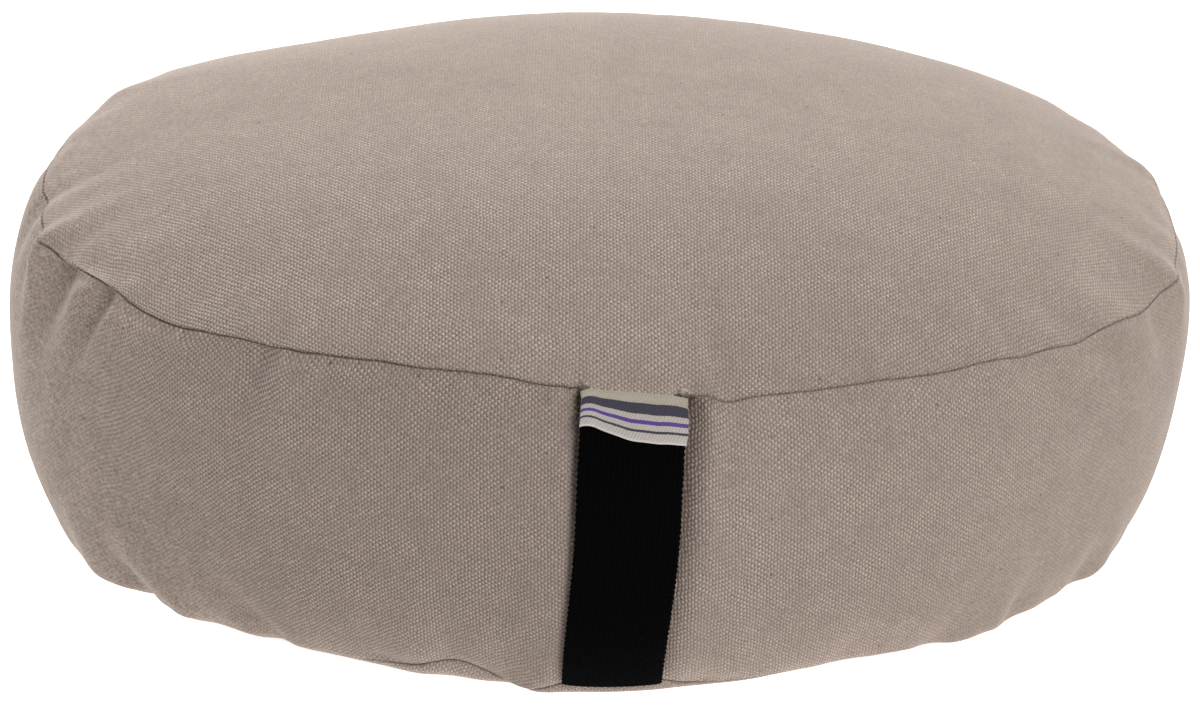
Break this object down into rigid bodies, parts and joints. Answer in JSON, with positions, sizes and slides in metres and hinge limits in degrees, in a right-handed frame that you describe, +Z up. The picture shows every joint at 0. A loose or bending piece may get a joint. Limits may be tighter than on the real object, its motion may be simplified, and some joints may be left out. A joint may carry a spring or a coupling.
{
  "type": "meditation cushion",
  "caption": "Oval zafu meditation cushion with a domed top, a side band, a webbing handle down its front and a small folded label in the top seam.",
  "frame": {"origin": "middle of the plan box, on the face the cushion rests on", "axes": "+X along the oval's length, to the right seen from the handle; +Y from the handle to the back; +Z up"},
  "size_m": [0.4662, 0.3352, 0.1735],
  "materials": {
    "canvas": "matte taupe plain-weave canvas",
    "webbing": "black ribbed webbing",
    "label": "cream woven label"
  },
  "bodies": {
    "root": {"cushion": "canvas", "handle_strap": "webbing", "label": "label"}
  },
  "joints": []
}
